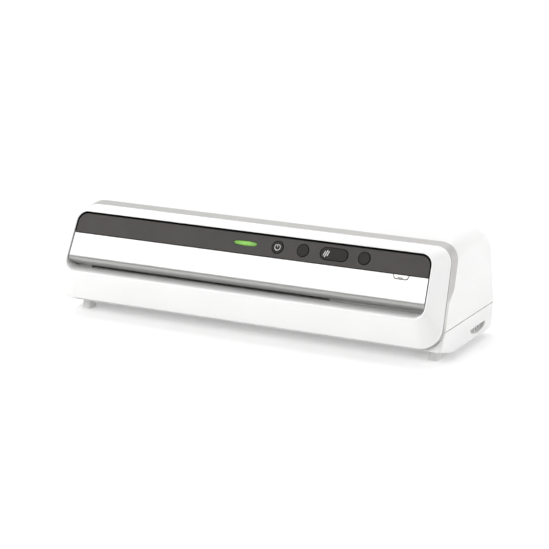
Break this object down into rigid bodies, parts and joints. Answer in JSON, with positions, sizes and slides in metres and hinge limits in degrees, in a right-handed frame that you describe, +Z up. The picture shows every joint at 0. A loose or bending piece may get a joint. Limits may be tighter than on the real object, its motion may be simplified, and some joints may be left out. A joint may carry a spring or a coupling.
{
  "type": "pouch laminator",
  "caption": "Desktop pouch laminator: leaning front frame, dark control band with keys and status light, entry slot over a ledge, geared hot and exit rollers, sprung bearings and feet.",
  "frame": {"origin": "middle of the footprint at table height", "axes": "+X to the right of a user facing the entry slot, +Y to the back, +Z up"},
  "size_m": [0.5234, 0.1852, 0.14],
  "materials": {
    "white_housing": "satin moulded ABS, fine matte grain",
    "silver_trim": "satin silver-grey moulded trim",
    "dark_fascia": "satin dark grey control panel",
    "key_plastic": "soft matte keys with light icons",
    "pearl_panel": "satin pearl grey front panel",
    "light_grey_plastic": "fine-grained light grey plastic",
    "green_lens": "green translucent light pipe",
    "foot_rubber": "matte rubber",
    "steel": "plated sheet and bar steel",
    "silicone": "red silicone rubber",
    "gear_plastic": "natural acetal",
    "bush_bronze": "sintered bronze",
    "motor_can": "zinc plated can",
    "aluminium": "extruded aluminium",
    "board_green": "circuit board",
    "black_plastic": "black moulded plastic"
  },
  "bodies": {
    "housing": {"front_bezel": "white_housing", "top_cover": "white_housing", "base_tray": "white_housing", "trim_ring": "silver_trim", "control_fascia": "dark_fascia", "front_panel": "pearl_panel", "feed_ledge": "light_grey_plastic", "front_foot_left": "light_grey_plastic", "front_foot_right": "light_grey_plastic", "middle_guide": "light_grey_plastic", "exit_guide": "light_grey_plastic", "status_light_lens": "green_lens", "rear_foot_left": "foot_rubber", "rear_foot_right": "foot_rubber", "chassis_plate_left": "steel", "chassis_plate_right": "steel", "chassis_tie_bar": "steel", "motor_bracket": "steel", "idler_pin": "steel", "hot_bush_left": "bush_bronze", "hot_bearing_block_left": "black_plastic", "hot_spring_left": "steel", "hot_bush_right": "bush_bronze", "hot_bearing_block_right": "black_plastic", "hot_spring_right": "steel", "exit_bush_left": "bush_bronze", "exit_bearing_block_left": "black_plastic", "exit_spring_left": "steel", "exit_bush_right": "bush_bronze", "exit_bearing_block_right": "black_plastic", "exit_spring_right": "steel", "drive_motor": "motor_can", "upper_heater_shoe": "aluminium", "lower_heater_shoe": "aluminium", "thermal_cutout": "black_plastic", "cord_gland": "black_plastic", "entry_sensor": "black_plastic", "control_board": "board_green", "power_board": "board_green"},
    "hot_lower_roller": {"hot_lower_shaft": "steel", "hot_lower_sleeve": "silicone", "hot_lower_gear": "gear_plastic"},
    "hot_upper_roller": {"hot_upper_shaft": "steel", "hot_upper_sleeve": "silicone", "hot_upper_gear": "gear_plastic"},
    "exit_lower_roller": {"exit_lower_shaft": "steel", "exit_lower_sleeve": "silicone", "exit_lower_gear": "gear_plastic"},
    "exit_upper_roller": {"exit_upper_shaft": "steel", "exit_upper_sleeve": "silicone", "exit_upper_gear": "gear_plastic"},
    "idler": {"idler_gear": "gear_plastic"},
    "pinion": {"motor_pinion": "steel"},
    "entry_flag": {"sensor_flag": "black_plastic"},
    "power_button_body": {"power_button": "key_plastic"},
    "reverse_button_body": {"reverse_button": "key_plastic"},
    "mode_button_body": {"mode_button": "key_plastic"},
    "select_button_body": {"select_button": "key_plastic"},
    "release_tab_body": {"release_tab": "pearl_panel"}
  },
  "joints": [
    {"name": "hot_lower_spin", "type": "hinge", "parent": "housing", "child": "hot_lower_roller", "pos_m": [0, -0.015, 0.05115], "axis": [1, 0, 0], "continuous": true},
    {"name": "hot_upper_spin", "type": "hinge", "parent": "housing", "child": "hot_upper_roller", "pos_m": [0, -0.015, 0.07545], "axis": [1, 0, 0], "continuous": true},
    {"name": "exit_lower_spin", "type": "hinge", "parent": "housing", "child": "exit_lower_roller", "pos_m": [0, 0.0444, 0.05115], "axis": [1, 0, 0], "continuous": true},
    {"name": "exit_upper_spin", "type": "hinge", "parent": "housing", "child": "exit_upper_roller", "pos_m": [0, 0.0444, 0.07545], "axis": [1, 0, 0], "continuous": true},
    {"name": "idler_spin", "type": "hinge", "parent": "housing", "child": "idler", "pos_m": [0, 0.0147, 0.05115], "axis": [1, 0, 0], "continuous": true},
    {"name": "pinion_spin", "type": "hinge", "parent": "housing", "child": "pinion", "pos_m": [0, 0.0147, 0.07545], "axis": [1, 0, 0], "continuous": true},
    {"name": "power_button_press", "type": "slide", "parent": "housing", "child": "power_button_body", "axis": [0, 0.8944, -0.4472], "range_m": [0, 0.001], "stiffness_N_per_m": 900, "springref_m": -0.0005},
    {"name": "reverse_button_press", "type": "slide", "parent": "housing", "child": "reverse_button_body", "axis": [0, 0.8944, -0.4472], "range_m": [0, 0.001], "stiffness_N_per_m": 900, "springref_m": -0.0005},
    {"name": "mode_button_press", "type": "slide", "parent": "housing", "child": "mode_button_body", "axis": [0, 0.8944, -0.4472], "range_m": [0, 0.001], "stiffness_N_per_m": 900, "springref_m": -0.0005},
    {"name": "select_button_press", "type": "slide", "parent": "housing", "child": "select_button_body", "axis": [0, 0.8944, -0.4472], "range_m": [0, 0.001], "stiffness_N_per_m": 900, "springref_m": -0.0005},
    {"name": "release_tab_press", "type": "slide", "parent": "housing", "child": "release_tab_body", "axis": [0, 0.8944, -0.4472], "range_m": [0, 0.0015], "stiffness_N_per_m": 700, "springref_m": -0.0005},
    {"name": "entry_flag_swing", "type": "hinge", "parent": "housing", "child": "entry_flag", "pos_m": [-0.0585, -0.046, 0.0802], "axis": [1, 0, 0], "range_deg": [0, 40], "stiffness_Nm_per_rad": 0.002, "springref_deg": -11.46}
  ],
  "couplings": [
    {"joint": "hot_upper_spin", "follows": "hot_lower_spin", "ratio": -1},
    {"joint": "exit_lower_spin", "follows": "hot_lower_spin", "ratio": 1},
    {"joint": "exit_upper_spin", "follows": "hot_lower_spin", "ratio": -1},
    {"joint": "idler_spin", "follows": "hot_lower_spin", "ratio": -0.69231},
    {"joint": "pinion_spin", "follows": "hot_lower_spin", "ratio": 1.8}
  ]
}
